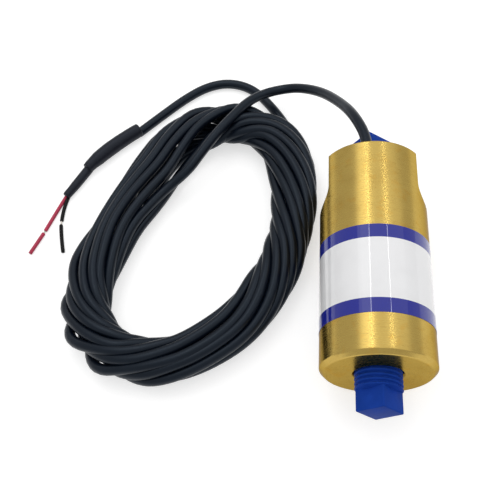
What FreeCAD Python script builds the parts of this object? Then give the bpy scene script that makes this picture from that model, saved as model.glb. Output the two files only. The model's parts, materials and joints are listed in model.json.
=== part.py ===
import FreeCAD, Part
import math
import os
import re

import Sketcher

# In-line piston flow switch, lying on its side: the bore runs along Y, the inlet end faces -Y and the cable end
# faces +Y. Z is up and the switch rests on Z = 0. Millimetres.
#
# Water that enters at the inlet lifts the piston off its seat and pushes it against the return spring. The magnet
# in the piston then passes a reed switch, which is potted in a pocket beside the bore.

doc = FreeCAD.newDocument("flow_switch")

# ---------------------------------------------------------------- driving dimensions
DRIVING = {
    # turned housing
    "body_diameter": 34.925,
    "body_length": 73.025,
    "inlet_chamfer": 1.3,
    "outlet_chamfer": 0.3,
    # pair of wrench flats at the cable end, milled with the side of a cutter
    "flat_width": 28.575,
    "flat_length": 12.0,
    "flat_cutter_radius": 8.0,
    # tapered pipe ports, measured at the thread's root
    "port_radius": 7.25,
    "port_taper": 0.03125,
    "port_depth": 15.5,
    "port_chamfer": 0.5,
    # bores between the ports
    "seat_bore_radius": 6.35,
    "seat_bore_length": 6.0,
    "piston_bore_radius": 5.56,
    "outlet_bore_radius": 2.9,
    # seat ring and the spring ring that holds it
    "seat_thickness": 3.0,
    "seat_hole_radius": 3.6,
    "seat_clearance": 0.05,
    "snap_thickness": 1.0,
    "snap_groove_depth": 0.6,
    "snap_radial_width": 1.6,
    "snap_clearance": 0.05,
    "snap_gap_angle": 40.0,
    # piston
    "piston_clearance": 0.08,
    "piston_length": 18.0,
    "piston_travel": 8.0,
    "piston_end_gap": 0.05,
    "piston_chamfer": 0.4,
    "nose_length": 3.4,
    "nose_tip_radius": 2.0,
    "nose_clearance": 0.25,
    "flute_width": 2.6,
    "flute_depth": 0.9,
    "flute_count": 4,
    "rim_notch_depth": 2.0,
    "spring_pocket_radius": 4.2,
    "spring_pocket_depth": 7.5,
    "magnet_radius": 3.2,
    "magnet_length": 5.0,
    "magnet_clearance": 0.03,
    "retainer_thickness": 0.8,
    "retainer_hole_radius": 1.2,
    # return spring
    "spring_wire": 0.5,
    "spring_turns": 6.0,
    "spring_steps": 12,
    "spring_side_clearance": 0.25,
    # reed pocket: a blind hole from the cable end face, beside the bore and above it
    "pocket_offset": 12.1,
    "pocket_angle": 7.0,
    "pocket_radius": 3.2,
    "pocket_depth": 52.0,
    # reed switch, its two solder sleeves and the two cores, which lie side by side
    "core_offset": 0.95,
    "core_radius": 0.7,
    "reed_radius": 1.15,
    "reed_wall": 0.25,
    "reed_length": 14.0,
    "reed_seal": 1.5,
    "reed_to_pocket_end": 6.5,
    "blade_width": 1.0,
    "blade_thickness": 0.2,
    "blade_overlap": 1.2,
    "blade_gap": 0.12,
    "reed_wire_radius": 0.3,
    "reed_wire_length": 3.0,
    "solder_radius": 0.9,
    "solder_length": 3.0,
    "jacket_entry": 6.0,
    # shipping plugs
    "plug_clearance": 0.15,
    "plug_engagement": 7.0,
    "plug_head_square": 9.93,
    "plug_head_length": 6.0,
    "plug_shank_out": 5.5,
    "far_plug_shank_out": 6.5,
    "plug_core_radius": 4.6,
    "plug_core_depth": 9.0,
    "plug_edge": 0.35,
    "near_plug_turn": -8.4,
    "far_plug_turn": 5.0,
    # wrap-around label
    "label_width": 29.08,
    "label_thickness": 0.1,
    "label_middle": -9.71,
    "label_seam": 10.0,
    # cable
    "cable_diameter": 3.7,
    "coil_height": 11.0,
    "coil_edge": 2.8,
    "outer_sleeve_radius": 2.4,
    "inner_sleeve_radius": 1.6,
    "lead_radius": 0.72,
    "conductor_radius": 0.34,
}

# Sizes that follow from the driving ones. The near end face is at -half_length, measured from the housing's middle.
DERIVED = {
    "body_radius": "body_diameter / 2",
    "half_length": "body_length / 2",
    "axis_height": "body_radius",
    # the plugs stand out unequally, and the origin is the middle of the whole length
    "body_shift": "(plug_shank_out - far_plug_shank_out) / 2",
    "port_end_radius": "port_radius - port_depth * port_taper",
    "seat_bore_start": "-half_length + port_depth",
    "seat_face": "seat_bore_start + seat_bore_length",
    "snap_face": "seat_face - seat_thickness",
    "snap_groove_radius": "seat_bore_radius + snap_groove_depth",
    "piston_front": "seat_face + piston_end_gap",
    "piston_rear": "piston_front + piston_length",
    "stop_face": "piston_rear + piston_travel + piston_end_gap",
    "outlet_port_start": "half_length - port_depth",
    "piston_radius": "piston_bore_radius - piston_clearance",
    "retainer_face": "piston_rear - spring_pocket_depth",
    "magnet_rear": "retainer_face - retainer_thickness",
    "magnet_front": "magnet_rear - magnet_length",
    "spring_radius": "spring_pocket_radius - spring_side_clearance - spring_wire / 2",
    "spring_length": "stop_face - retainer_face",
    "pocket_height": "pocket_offset * cos(pocket_angle * 1 deg)",
    "pocket_side": "-pocket_offset * sin(pocket_angle * 1 deg)",
    "pocket_end": "half_length - pocket_depth",
    "reed_start": "pocket_end + reed_to_pocket_end",
    "reed_end": "reed_start + reed_length",
    "jacket_end": "half_length - jacket_entry",
    "reed_middle": "(reed_start + reed_end) / 2",
    "near_solder": "reed_start - reed_wire_length",
    "far_solder": "reed_end + reed_wire_length",
    "plug_face_radius": "port_radius - plug_clearance",
    "plug_corner": "plug_head_square / sqrt(2)",
    "label_start": "label_middle - label_width / 2",
    "label_end": "label_middle + label_width / 2",
    "label_angle": "360 - label_seam / body_radius * 180 / pi",
    "snap_angle": "360 - snap_gap_angle",
    "cable_radius": "cable_diameter / 2",
}

sheet = doc.addObject("Spreadsheet::Sheet", "dims")
for row, (alias, value) in enumerate(DRIVING.items(), start=1):
    sheet.set(f"A{row}", alias)
    sheet.set(f"B{row}", str(value))
    sheet.setAlias(f"B{row}", alias)
for row, (alias, formula) in enumerate(DERIVED.items(), start=len(DRIVING) + 2):
    sheet.set(f"A{row}", alias)
    sheet.set(f"B{row}", "=" + formula)
    sheet.setAlias(f"B{row}", alias)
doc.recompute()


ALIASES = {alias: f"dims.{alias}" for alias in (*DRIVING, *DERIVED)}


def size(alias):
    """A cell of the sheet as a plain number."""
    value = sheet.get(alias)
    return float(getattr(value, "Value", value))


def linked(formula):
    """The same formula as seen from outside the sheet, with each alias read from it."""
    return re.sub(r"[a-z_]+", lambda word: ALIASES.get(word.group(), word.group()), formula)


def number(formula):
    """What a formula of the sheet's aliases comes to."""
    value = sheet.evalExpression(linked(formula))
    return float(getattr(value, "Value", value))


# ---------------------------------------------------------------- helpers for sketches and bodies
def on_axis(feature):
    """Puts a feature made about the Y axis onto the housing's own axis."""
    feature.setExpression("Placement.Base.y", "dims.body_shift")
    feature.setExpression("Placement.Base.z", "dims.axis_height")


def in_pocket(side):
    """Puts a feature into the reed pocket: on its axis (0), or on one of the two cores' axes (-1 or 1)."""

    def place(feature):
        feature.setExpression("Placement.Base.x", linked(f"pocket_side + {side} * core_offset"))
        feature.setExpression("Placement.Base.y", "dims.body_shift")
        feature.setExpression("Placement.Base.z", linked("axis_height + pocket_height"))

    return place


def new_body(name, place=on_axis):
    body = doc.addObject("PartDesign::Body", name)
    place(body)
    return body


def origin_feature(body, role):
    return next(o for o in body.Origin.OriginFeatures if o.Role == role)


def sketch_on(body, role, name, along=None):
    """An empty sketch on one of the body's own planes. An XZ sketch can stand at a distance along Y."""
    sketch = body.newObject("Sketcher::SketchObject", name)
    sketch.AttachmentSupport = [(origin_feature(body, role), "")]
    sketch.MapMode = "FlatFace"
    if along is not None:
        sketch.setExpression("AttachmentOffset.Base.z", linked(f"-({along})"))
    return sketch


def fix_point(sketch, geometry, vertex, across=None, up=None):
    """Dimensions a point of a sketch from the origin, by formulas."""
    for axis_line, kind, formula in ((-2, "DistanceX", across), (-1, "DistanceY", up)):
        if formula is None:
            continue
        if formula == "0":
            sketch.addConstraint(Sketcher.Constraint("PointOnObject", geometry, vertex, axis_line))
            continue
        index = sketch.addConstraint(Sketcher.Constraint(kind, -1, 1, geometry, vertex, number(formula)))
        sketch.setExpression(f"Constraints[{index}]", linked(formula))


def add_outline(sketch, corners):
    """A closed outline of straight lines through corners given as pairs of formulas."""
    points = [FreeCAD.Vector(number(across), number(up), 0) for across, up in corners]
    lines = [
        sketch.addGeometry(Part.LineSegment(start, end))
        for start, end in zip(points, points[1:] + points[:1])
    ]
    for line, following in zip(lines, lines[1:] + lines[:1]):
        sketch.addConstraint(Sketcher.Constraint("Coincident", line, 2, following, 1))
    for line, (across, up) in zip(lines, corners):
        fix_point(sketch, line, 1, across, up)


def add_circle(sketch, across, up, radius):
    middle = FreeCAD.Vector(number(across), number(up), 0)
    circle = sketch.addGeometry(Part.Circle(middle, FreeCAD.Vector(0, 0, 1), number(radius)))
    index = sketch.addConstraint(Sketcher.Constraint("Radius", circle, number(radius)))
    sketch.setExpression(f"Constraints[{index}]", linked(radius))
    fix_point(sketch, circle, 3, across, up)


def turned(name, corners, angle=None, place=on_axis):
    """A body turned about the Y axis from corners (distance along the axis, radius).

    A part turn is open at the bottom.
    """
    body = new_body(name, place)
    sketch = sketch_on(body, "YZ_Plane", f"{name}_profile")
    add_outline(sketch, corners)
    turn = body.newObject("PartDesign::Revolution", f"{name}_turn")
    turn.Profile = sketch
    turn.ReferenceAxis = (sketch, ["H_Axis"])
    turn.Angle = 360
    if angle is not None:
        turn.Midplane = True
        turn.setExpression("Angle", linked(angle))
    return body


def rod(name, start, end, radius, place, edge=None):
    """A turned rod from start to end along the axis. Its edges may be broken."""
    corners = [(start, "0"), (start, radius), (end, radius), (end, "0")]
    if edge:
        corners[1:3] = [
            (start, f"{radius} - {edge}"),
            (f"{start} + {edge}", radius),
            (f"{end} - {edge}", radius),
            (end, f"{radius} - {edge}"),
        ]
    return turned(name, corners, place=place)


def pocket(body, sketch, name, length=None, both_sides=False, backwards=False):
    """A pocket of a given length, or right through. It raises if it removes nothing."""
    doc.recompute()
    before = body.Shape.Volume
    cut = body.newObject("PartDesign::Pocket", name)
    cut.Profile = sketch
    cut.Midplane = both_sides
    cut.Reversed = backwards
    if length is None:
        cut.Type = "ThroughAll"
    else:
        cut.setExpression("Length", linked(length))
    doc.recompute()
    if body.Shape.Volume > before - 0.001:
        raise RuntimeError(f"{name} removes nothing")
    return cut


def around_axis(body, feature, name, count):
    """Repeats a cut around the body's Y axis."""
    pattern = body.newObject("PartDesign::PolarPattern", name)
    pattern.Originals = [feature]
    pattern.Axis = (origin_feature(body, "Y_Axis"), [""])
    pattern.Angle = 360
    pattern.setExpression("Occurrences", linked(count))
    body.Tip = pattern


def boolean(kind, name, base, tools):
    """Part::Cut of a base by its tools, or Part::MultiFuse of them all."""
    if kind == "Part::Cut":
        cut = doc.addObject(kind, name)
        cut.Base = base
        cut.Tool = tools[0] if len(tools) == 1 else boolean("Part::MultiFuse", f"{name}_tools", None, tools)
        return cut
    fuse = doc.addObject(kind, name)
    fuse.Shapes = tools
    return fuse


# ---------------------------------------------------------------- housing and label
def make_housing():
    """Turned bar with both ports, the bores between them, the wrench flats and the reed pocket."""
    body = turned(
        "housing",
        [
            ("-half_length", "port_radius + port_chamfer"),
            ("-half_length", "body_radius - inlet_chamfer"),
            ("-half_length + inlet_chamfer", "body_radius"),
            ("half_length - outlet_chamfer", "body_radius"),
            ("half_length", "body_radius - outlet_chamfer"),
            ("half_length", "port_radius + port_chamfer"),
            ("half_length - port_chamfer", "port_radius - port_taper * port_chamfer"),
            ("outlet_port_start", "port_end_radius"),
            ("outlet_port_start", "outlet_bore_radius"),
            ("stop_face", "outlet_bore_radius"),
            ("stop_face", "piston_bore_radius"),
            ("seat_face", "piston_bore_radius"),
            ("seat_face", "seat_bore_radius"),
            ("snap_face", "seat_bore_radius"),
            ("snap_face", "snap_groove_radius"),
            ("snap_face - snap_thickness", "snap_groove_radius"),
            ("snap_face - snap_thickness", "seat_bore_radius"),
            ("seat_bore_start", "seat_bore_radius"),
            ("seat_bore_start", "port_end_radius"),
            ("-half_length + port_chamfer", "port_radius - port_taper * port_chamfer"),
        ],
    )
    mill_flats(body)
    mouth = sketch_on(body, "XZ_Plane", "reed_pocket_mouth", along="half_length")
    add_circle(mouth, "pocket_side", "pocket_height", "pocket_radius")
    pocket(body, mouth, "reed_pocket", length="pocket_depth", backwards=True)
    return body


def mill_flats(body):
    """A flat milled with the side of the cutter, which leaves a curved run-out, and its mirror image."""
    sketch = sketch_on(body, "XY_Plane", "flat_outline")
    face, cutter_axis = "flat_width / 2", "flat_width / 2 + flat_cutter_radius"
    flat_end, beyond_end = "half_length - flat_length", "half_length + 1"
    run_out_end = f"{flat_end} - flat_cutter_radius"
    middle = FreeCAD.Vector(number(cutter_axis), number(flat_end), 0)
    corners = [
        FreeCAD.Vector(number(across), number(up), 0)
        for across, up in (
            (face, flat_end),
            (face, beyond_end),
            (cutter_axis, beyond_end),
            (cutter_axis, run_out_end),
        )
    ]
    lines = [sketch.addGeometry(Part.LineSegment(a, b)) for a, b in zip(corners, corners[1:])]
    circle = Part.Circle(middle, FreeCAD.Vector(0, 0, 1), number("flat_cutter_radius"))
    run_out = sketch.addGeometry(Part.ArcOfCircle(circle, math.pi, 1.5 * math.pi))
    for first, second in zip(lines, lines[1:]):
        sketch.addConstraint(Sketcher.Constraint("Coincident", first, 2, second, 1))
    sketch.addConstraint(Sketcher.Constraint("Coincident", run_out, 1, lines[0], 1))
    sketch.addConstraint(Sketcher.Constraint("Coincident", run_out, 2, lines[2], 2))
    fix_point(sketch, run_out, 3, cutter_axis, flat_end)
    fix_point(sketch, lines[0], 1, face, flat_end)
    fix_point(sketch, lines[0], 2, face, beyond_end)
    fix_point(sketch, lines[1], 2, cutter_axis, beyond_end)
    fix_point(sketch, lines[2], 2, across=cutter_axis)
    flat = pocket(body, sketch, "wrench_flat", both_sides=True)
    mirrored = body.newObject("PartDesign::Mirrored", "opposite_flat")
    mirrored.Originals = [flat]
    mirrored.MirrorPlane = (origin_feature(body, "YZ_Plane"), [""])
    body.Tip = mirrored


def make_label():
    """Label wrapped round the housing. Its two ends stop short of each other at the bottom."""
    outside = "body_radius + label_thickness"
    return turned(
        "name_label",
        [
            ("label_start", "body_radius"),
            ("label_start", outside),
            ("label_end", outside),
            ("label_end", "body_radius"),
        ],
        angle="label_angle",
    )


# ---------------------------------------------------------------- seat, piston and spring
def make_seat():
    """Seat ring against its shoulder, and the spring ring in the groove that holds it there."""
    outside = "seat_bore_radius - seat_clearance"
    seat = turned(
        "seat_ring",
        [
            ("snap_face", "seat_hole_radius + seat_thickness / 4"),
            ("snap_face", outside),
            ("seat_face", outside),
            ("seat_face", "seat_hole_radius"),
            ("snap_face + seat_thickness / 4", "seat_hole_radius"),
        ],
    )
    ring_outside = "snap_groove_radius - snap_clearance"
    ring_inside = f"{ring_outside} - snap_radial_width"
    ring = turned(
        "retaining_ring",
        [
            ("snap_face - snap_thickness", ring_inside),
            ("snap_face - snap_thickness", ring_outside),
            ("snap_face", ring_outside),
            ("snap_face", ring_inside),
        ],
        angle="snap_angle",
    )
    return [seat, ring]


def make_piston():
    """Piston with a tapered nose through the seat, flow flutes outside, and pockets for magnet and spring."""
    nose_radius = "seat_hole_radius - nose_clearance"
    magnet_pocket = "magnet_radius + magnet_clearance"
    piston = turned(
        "piston",
        [
            ("piston_front - nose_length", "0"),
            ("piston_front - nose_length", "nose_tip_radius"),
            ("piston_front", nose_radius),
            ("piston_front", "piston_radius - piston_chamfer"),
            ("piston_front + piston_chamfer", "piston_radius"),
            ("piston_rear - piston_chamfer", "piston_radius"),
            ("piston_rear", "piston_radius - piston_chamfer"),
            ("piston_rear", "spring_pocket_radius"),
            ("magnet_rear", "spring_pocket_radius"),
            ("magnet_rear", magnet_pocket),
            ("magnet_front", magnet_pocket),
            ("magnet_front", "0"),
        ],
    )
    flute = sketch_on(piston, "XZ_Plane", "flute_outline", along="piston_rear")
    add_outline(
        flute,
        [
            ("-flute_width / 2", "piston_radius - flute_depth"),
            ("flute_width / 2", "piston_radius - flute_depth"),
            ("flute_width / 2", "piston_radius + flute_depth"),
            ("-flute_width / 2", "piston_radius + flute_depth"),
        ],
    )
    cut = pocket(piston, flute, "flute", length="piston_length", backwards=True)
    around_axis(piston, cut, "flutes", "flute_count")
    notch = sketch_on(piston, "YZ_Plane", "notch_outline")
    add_outline(
        notch,
        [
            ("piston_rear - rim_notch_depth", "-flute_width / 2"),
            ("piston_rear + rim_notch_depth", "-flute_width / 2"),
            ("piston_rear + rim_notch_depth", "flute_width / 2"),
            ("piston_rear - rim_notch_depth", "flute_width / 2"),
        ],
    )
    rim = pocket(piston, notch, "rim_notch", both_sides=True)
    around_axis(piston, rim, "rim_notches", "flute_count")

    magnet = rod("piston_magnet", "magnet_front", "magnet_rear", "magnet_radius", on_axis, edge="0.3")
    retainer_radius = "spring_pocket_radius - magnet_clearance"
    retainer = turned(
        "magnet_retainer",
        [
            ("magnet_rear", "retainer_hole_radius"),
            ("magnet_rear", retainer_radius),
            ("retainer_face", retainer_radius),
            ("retainer_face", "retainer_hole_radius"),
        ],
    )
    return [piston, magnet, retainer]


def placed_shape(name, shape):
    """A Part::Feature that holds a shape made with Part's own functions, moved with the housing."""
    feature = doc.addObject("Part::Feature", name)
    feature.Shape = shape
    feature.Placement = FreeCAD.Placement(FreeCAD.Vector(0, size("body_shift"), 0), FreeCAD.Rotation())
    return feature


def make_spring():
    """Helical return spring between the magnet's retainer and the stop face, its wire drawn with eight sides."""
    wire, radius = size("spring_wire"), size("spring_radius")
    height = size("spring_length") - wire
    steps = round(size("spring_turns") * size("spring_steps"))
    sections = []
    for step in range(steps + 1):
        turn = 2 * math.pi * step / size("spring_steps")
        outward = FreeCAD.Vector(math.cos(turn), math.sin(turn), 0)
        middle = outward * radius + FreeCAD.Vector(0, 0, height * step / steps)
        corners = []
        for side in range(8):
            around = math.pi / 4 * side
            rise = FreeCAD.Vector(0, 0, math.sin(around))
            corners.append(middle + (outward * math.cos(around) + rise) * (wire / 2))
        sections.append(Part.makePolygon([*corners, corners[0]]))
    coil = Part.makeLoft(sections, True, True)
    start = FreeCAD.Vector(0, size("retainer_face") + wire / 2, size("axis_height"))
    along_bore = FreeCAD.Placement(start, FreeCAD.Rotation(FreeCAD.Vector(1, 0, 0), -90))
    return placed_shape("return_spring", coil.transformed(along_bore.Matrix, True))


# ---------------------------------------------------------------- reed switch in its pocket
def primitive(kind, name, place, offset, **sizes):
    """A Part primitive with its sizes and its place bound to formulas. The offset is from the placed axis."""
    piece = doc.addObject(kind, name)
    for key, formula in sizes.items():
        piece.setExpression(key, linked(formula))
    place(piece)
    for axis_name, formula in zip("xyz", offset):
        path = f".Placement.Base.{axis_name}"
        placed = dict(piece.ExpressionEngine)[path]
        piece.setExpression(path, f"{placed} + {linked(formula)}")
    return piece


def reed_blade(name, low, start, length, wire_start, wire_length, extra=()):
    """One flat blade of the reed with the round wire that leaves through the glass."""
    on_reed = in_pocket(1)
    flat = primitive(
        "Part::Box",
        f"{name}_flat",
        on_reed,
        ("-blade_width / 2", start, low),
        Length="blade_width",
        Width=length,
        Height="blade_thickness",
    )
    wire = primitive(
        "Part::Cylinder",
        f"{name}_wire",
        on_reed,
        ("0", wire_start, "0"),
        Radius="reed_wire_radius",
        Height=wire_length,
    )
    wire.Placement.Rotation = FreeCAD.Rotation(FreeCAD.Vector(1, 0, 0), -90)
    return boolean("Part::MultiFuse", name, None, [flat, wire, *extra])


def make_reed_switch(cable):
    """Reed switch, its solder sleeves, the two cores and the potting that fills the pocket round them."""
    inner_end = "reed_seal / 2"
    blade_length = f"reed_middle + blade_overlap / 2 - reed_start - {inner_end}"
    turn_back = primitive(
        "Part::Box",
        "near_wire_turn_back",
        in_pocket(0),
        ("-core_offset - reed_wire_radius", "near_solder - core_offset", "-reed_wire_radius"),
        Length="2 * (core_offset + reed_wire_radius)",
        Width="core_offset",
        Height="2 * reed_wire_radius",
    )
    near = reed_blade(
        "reed_blade_near",
        low="-blade_gap / 2 - blade_thickness",
        start=f"reed_start + {inner_end}",
        length=blade_length,
        wire_start="near_solder",
        wire_length="reed_wire_length + reed_seal",
        extra=[turn_back],
    )
    far = reed_blade(
        "reed_blade_far",
        low="blade_gap / 2",
        start="reed_middle - blade_overlap / 2",
        length=blade_length,
        wire_start="reed_end - reed_seal",
        wire_length="reed_wire_length + reed_seal",
    )
    envelope = rod("reed_envelope", "reed_start", "reed_end", "reed_radius", in_pocket(1), edge="0.4")
    cavity = rod(
        "reed_cavity",
        "reed_start + reed_seal",
        "reed_end - reed_seal",
        "reed_radius - reed_wall",
        in_pocket(1),
        edge="0.2",
    )
    glass = boolean("Part::Cut", "reed_glass", envelope, [cavity, near, far])
    black = rod("core_black", "near_solder", "jacket_end", "core_radius", in_pocket(-1))
    red = rod("core_red", "far_solder", "jacket_end", "core_radius", in_pocket(1))
    sleeves = [
        solder_sleeve("solder_sleeve_near", "near_solder", in_pocket(-1), [black, near]),
        solder_sleeve("solder_sleeve_far", "far_solder", in_pocket(1), [red, far]),
    ]
    fill = rod("potting_fill", "pocket_end", "half_length", "pocket_radius", in_pocket(0))
    solids = [envelope, near, far, black, red, *sleeves, cable]
    potting = boolean("Part::Cut", "potting", fill, solids)
    return [glass, near, far, *sleeves, black, red, potting]


def solder_sleeve(name, middle, place, inside):
    """Sleeve over the joint between a core and the reed's wire, which both fill its bore."""
    around = rod(
        f"{name}_outside",
        f"{middle} - solder_length / 2",
        f"{middle} + solder_length / 2",
        "solder_radius",
        place,
    )
    return boolean("Part::Cut", name, around, inside)


# ---------------------------------------------------------------- shipping plugs
def make_plug(name, side, shank_out, turn):
    """Hollow shipping plug part way into a port: tapered shank outside and in, square head outside."""
    face = f"{side} * half_length"
    inner_end = f"{side} * (half_length - plug_engagement)"
    shoulder = f"{side} * (half_length + {shank_out})"
    core_end = f"{side} * (half_length - plug_engagement + plug_core_depth)"
    inner_radius = "plug_face_radius - plug_engagement * port_taper"
    plug = turned(
        name,
        [
            (inner_end, "plug_core_radius"),
            (inner_end, f"{inner_radius} - plug_edge"),
            (f"{inner_end} + {side} * plug_edge", inner_radius),
            (face, "plug_face_radius"),
            (f"{shoulder} - {side} * plug_edge", "plug_face_radius"),
            (shoulder, "plug_face_radius - plug_edge"),
            (shoulder, "0"),
            (core_end, "0"),
            (core_end, "plug_core_radius"),
        ],
    )
    sketch = sketch_on(plug, "XZ_Plane", f"{name}_square", along=shoulder)
    angles = [f"({turn} + {90 * quarter}) * 1 deg" for quarter in range(4)]
    add_outline(sketch, [(f"plug_corner * cos({a})", f"plug_corner * sin({a})") for a in angles])
    head = plug.newObject("PartDesign::Pad", f"{name}_head")
    head.Profile = sketch
    head.Reversed = side > 0
    head.setExpression("Length", "dims.plug_head_length")
    doc.recompute()
    long_edges = [
        f"Edge{index}"
        for index, edge in enumerate(head.Shape.Edges, start=1)
        if abs(edge.Length - size("plug_head_length")) < 0.01 and edge.Curve.TypeId == "Part::GeomLine"
    ]
    fillet = plug.newObject("PartDesign::Fillet", f"{name}_edges")
    fillet.Base = (head, long_edges)
    fillet.setExpression("Radius", "dims.plug_edge")
    return plug


# ---------------------------------------------------------------- cable and leads
# Each route is a list of points chosen by hand, in the housing's own X and Y and in Z above the table. A route
# turns at each point with an arc as large as its two runs allow.
def rounded(points, closed=False, report=None):
    """Straight runs joined by tangent arcs through a list of points, as one wire."""
    points = [FreeCAD.Vector(*p) for p in points]
    count = len(points)
    turns = range(count) if closed else range(1, count - 1)
    arcs = {}
    radii = []
    for k in turns:
        before, here, after = points[k - 1], points[k], points[(k + 1) % count]
        back, ahead = before - here, after - here
        reach = 0.45 * min(back.Length, ahead.Length)
        half_turn = (math.pi - back.getAngle(ahead)) / 2
        radius = reach / math.tan(half_turn)
        radii.append(radius)
        back.normalize()
        ahead.normalize()
        inward = (back + ahead).normalize()
        start, end = here + back * reach, here + ahead * reach
        middle = here + inward * (radius / math.cos(half_turn) - radius)
        arcs[k] = (start, middle, end)
    if report:
        print(f"{report}: arc radii", " ".join(f"{radius:.0f}" for radius in radii))
    edges = []
    place = arcs[0][2] if closed else points[0]
    order = [*range(1, count), 0] if closed else range(1, count - 1)
    for k in order:
        start, middle, end = arcs[k]
        edges.append(Part.LineSegment(place, start).toShape())
        edges.append(Part.Arc(start, middle, end).toShape())
        place = end
    if not closed:
        edges.append(Part.LineSegment(place, points[-1]).toShape())
    return Part.Wire(edges)


def tube(name, points, radius):
    """A plain round solid along a route."""
    start, following = FreeCAD.Vector(*points[0]), FreeCAD.Vector(*points[1])
    path = rounded(points, report=name) if len(points) > 2 else Part.Wire(Part.makeLine(start, following))
    section = Part.Wire(Part.Circle(start, following - start, radius).toShape())
    solid = path.makePipeShell([section], True, True)
    expected = math.pi * radius**2 * path.Length
    print(f"{name}: length {path.Length:.1f}, volume {solid.Volume / expected:.3f} of section x length")
    return placed_shape(name, solid)


def make_coil():
    """The loose coil's outer shape: a flat ring between two hand-drawn outlines, with sloped edges."""
    outside = [
        (-57, 84.5),
        (-37.5, 77.5),
        (-22, 59),
        (-18.2, 35),
        (-22, 3),
        (-39, -25),
        (-58, -36),
        (-84, -37),
        (-104, -23.5),
        (-109, -1),
        (-101, 26),
        (-87, 59),
        (-77.5, 75.5),
    ]
    inside = [
        (-56, 58),
        (-42, 54),
        (-35.5, 39),
        (-37.5, 14),
        (-48, -8),
        (-62, -20.5),
        (-80, -21),
        (-90, -8),
        (-85.5, 14),
        (-74, 38),
        (-67, 52),
    ]
    height, edge = size("coil_height"), size("coil_edge")
    wires = [rounded([(*point, 0) for point in outline], closed=True) for outline in (outside, inside)]
    ring = Part.Face(wires[0]).cut(Part.Face(wires[1])).Faces[0].extrude(FreeCAD.Vector(0, 0, height))
    rims = [e for e in ring.Edges if abs(e.BoundBox.ZLength) < 0.001]
    return placed_shape("cable_coil", ring.makeChamfer(edge, rims))


def make_cable():
    """Cable from the reed pocket to the coil, the coil, and the tail with its sleeves and two leads."""
    radius = size("cable_radius")
    side, height = size("pocket_side"), size("axis_height") + size("pocket_height")
    lead = tube(
        "cable_lead",
        [
            (side, size("jacket_end"), height),
            (side, size("half_length") + 5.5, height),
            (-5.6, 53.5, 27.8),
            (-10.2, 64.4, 22),
            (-17.3, 75.8, 15.6),
            (-26, 82.6, 10.4),
            (-33.1, 84.2, 8),
            (-40.3, 82, 6.9),
            (-46.4, 77, 6.6),
            (-50.6, 71, 7.2),
        ],
        radius,
    )
    table = radius
    tail = tube(
        "cable_tail",
        [
            (-30.9, 68.7, table),
            (-37, 80.2, table),
            (-45.6, 91.2, table),
            (-55.7, 95.5, table),
            (-65.2, 93.8, table),
            (-73.6, 88, table),
            (-82.5, 79.5, table),
            (-91.7, 70.9, table),
        ],
        radius,
    )
    outer, inner = size("outer_sleeve_radius"), size("inner_sleeve_radius")
    sleeves = [
        tube("outer_sleeve", [(-91.7, 70.9, outer), (-103.9, 61.8, outer), (-109.6, 53.2, outer)], outer),
        tube("inner_sleeve", [(-109.6, 53.2, inner), (-116.2, 41.2, inner)], inner),
    ]
    low = size("lead_radius")
    routes = {
        "red": ((-116.9, 41.6), (-122.3, 25.7), (-122.7, 24.7), (-126.3, 15.9)),
        "black": ((-115.5, 40.8), (-116.6, 30), (-116.5, 28.2), (-113.4, 16.3)),
    }
    leads = []
    for colour, route in routes.items():
        start, cut_start, cut_end, end = [(*point, low) for point in route]
        leads.append(tube(f"{colour}_lead", [start, cut_start], low))
        leads.append(tube(f"{colour}_conductor", [cut_start, cut_end], size("conductor_radius")))
        leads.append(tube(f"{colour}_slug", [cut_end, end], low))
    return [lead, make_coil(), tail, *sleeves, *leads]


# ---------------------------------------------------------------- build, check and write
cable = make_cable()
nodes = [
    make_housing(),
    make_label(),
    *make_seat(),
    *make_piston(),
    make_spring(),
    *make_reed_switch(cable[0]),
    make_plug("near_plug", -1, "plug_shank_out", "near_plug_turn"),
    make_plug("far_plug", 1, "far_plug_shank_out", "far_plug_turn"),
    *cable,
]
doc.recompute()
for item in doc.Objects:
    if {"Invalid", "Error"} & set(item.State):
        raise RuntimeError(f"{item.Name} is {item.State}")
os.makedirs("parts", exist_ok=True)
for node in nodes:
    if node.Shape.isNull() or not node.Shape.isValid() or len(node.Shape.Solids) != 1:
        raise RuntimeError(f"{node.Label} has no single valid solid")
    node.Shape.exportStep(os.path.join("parts", f"{node.Label}.step"))
print(len(nodes), "nodes")
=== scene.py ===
import json
import math

import bmesh
import bpy
from mathutils import Matrix, Vector


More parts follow.
